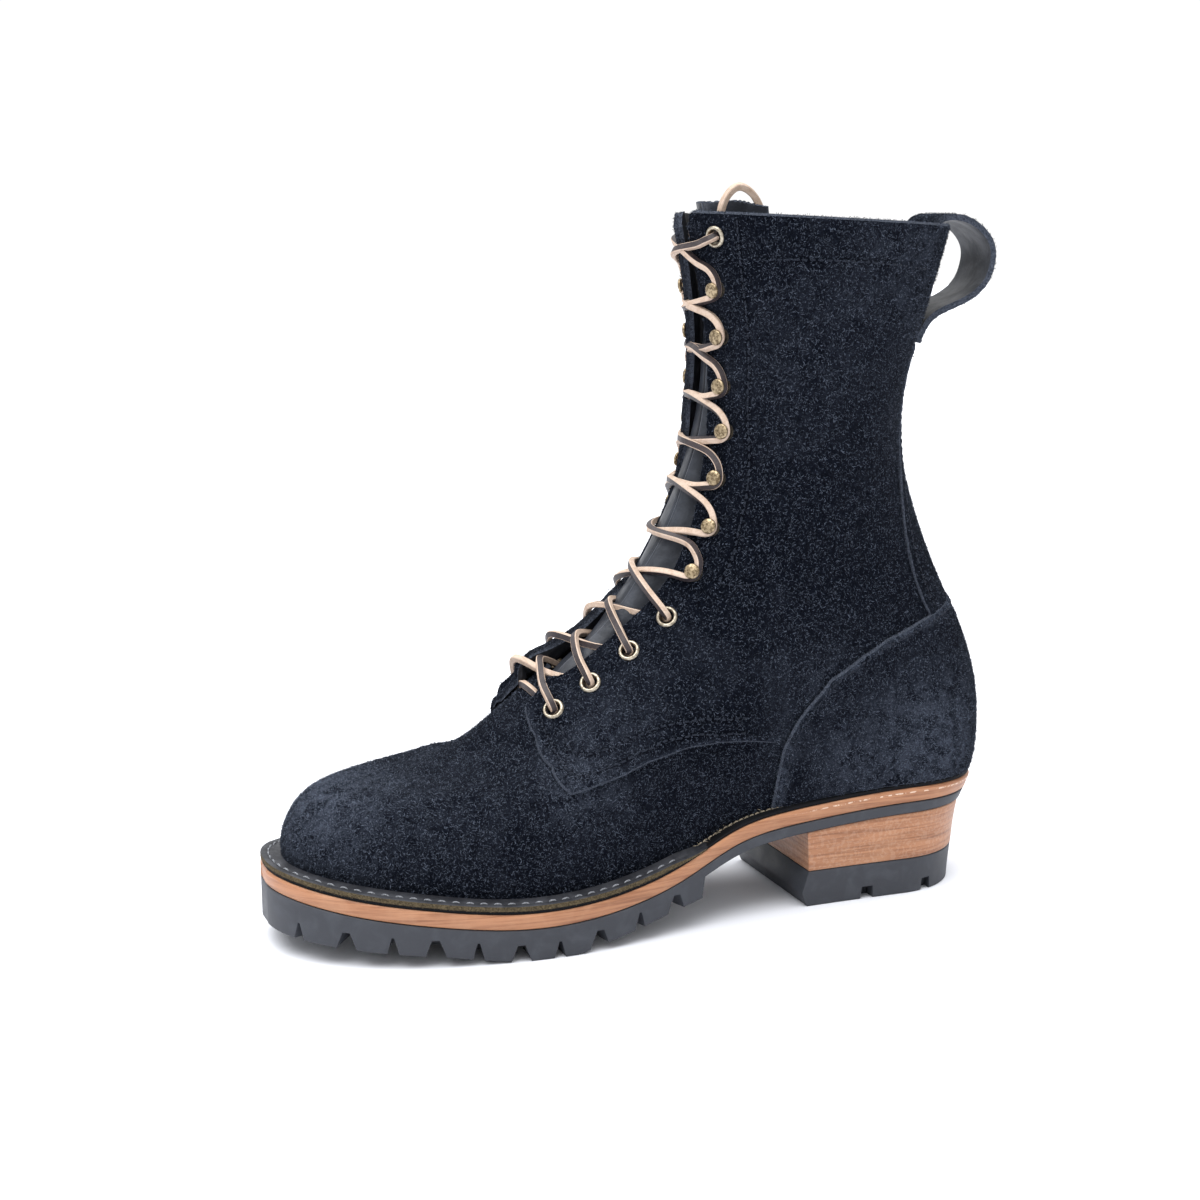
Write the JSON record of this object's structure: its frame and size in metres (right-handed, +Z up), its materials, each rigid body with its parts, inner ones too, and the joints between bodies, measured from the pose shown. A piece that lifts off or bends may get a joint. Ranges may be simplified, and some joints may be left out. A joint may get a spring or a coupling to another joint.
{
  "type": "lace-up boot",
  "caption": "Tall lace-up work boot of dark rough suede with eyelets, speed hooks and a rawhide lace, on a welted lugged rubber sole with a stacked leather heel and a back pull loop.",
  "frame": {"origin": "on the floor below the centre of the boot's bounding box, the free lace loop left out", "axes": "+X from heel to toe, +Y towards the outer side of the left foot, +Z up"},
  "size_m": [0.3156, 0.1119, 0.2982],
  "materials": {
    "suede": "rough-out suede, very dark blue-black, matt",
    "tongue_leather": "smooth black leather with a soft sheen",
    "black_rubber": "satin black rubber",
    "tan_leather": "trimmed tan sole leather edges, lightly burnished",
    "insole_leather": "plain undyed leather",
    "welt_leather": "dark oiled leather",
    "antique_brass": "antique brass",
    "pale_brass": "pale worn brass",
    "rawhide_lace": "cut rawhide, pale flesh faces and dark grain faces"
  },
  "bodies": {
    "root": {"backstay": "suede", "counter": "suede", "eyelet_inner_01": "pale_brass", "eyelet_inner_02": "pale_brass", "eyelet_inner_03": "pale_brass", "eyelet_inner_04": "pale_brass", "eyelet_inner_12": "pale_brass", "eyelet_outer_01": "pale_brass", "eyelet_outer_02": "pale_brass", "eyelet_outer_03": "pale_brass", "eyelet_outer_04": "pale_brass", "eyelet_outer_12": "pale_brass", "heel_lift": "black_rubber", "heel_rand": "black_rubber", "heel_stack": "tan_leather", "hook_inner_05": "antique_brass", "hook_inner_06": "antique_brass", "hook_inner_07": "antique_brass", "hook_inner_08": "antique_brass", "hook_inner_09": "antique_brass", "hook_inner_10": "antique_brass", "hook_inner_11": "antique_brass", "hook_outer_05": "antique_brass", "hook_outer_06": "antique_brass", "hook_outer_07": "antique_brass", "hook_outer_08": "antique_brass", "hook_outer_09": "antique_brass", "hook_outer_10": "antique_brass", "hook_outer_11": "antique_brass", "insole": "insole_leather", "lace_bar": "rawhide_lace", "lace_crossing_01": "rawhide_lace", "lace_crossing_02": "rawhide_lace", "lace_crossing_03": "rawhide_lace", "lace_crossing_04": "rawhide_lace", "lace_crossing_05": "rawhide_lace", "lace_crossing_06": "rawhide_lace", "lace_crossing_07": "rawhide_lace", "lace_crossing_08": "rawhide_lace", "lace_crossing_09": "rawhide_lace", "lace_crossing_10": "rawhide_lace", "lace_crossing_11": "rawhide_lace", "lace_loop": "rawhide_lace", "midsole": "tan_leather", "outsole": "black_rubber", "pull_loop": "tongue_leather", "tongue": "tongue_leather", "upper": "suede", "welt": "welt_leather"}
  },
  "joints": []
}
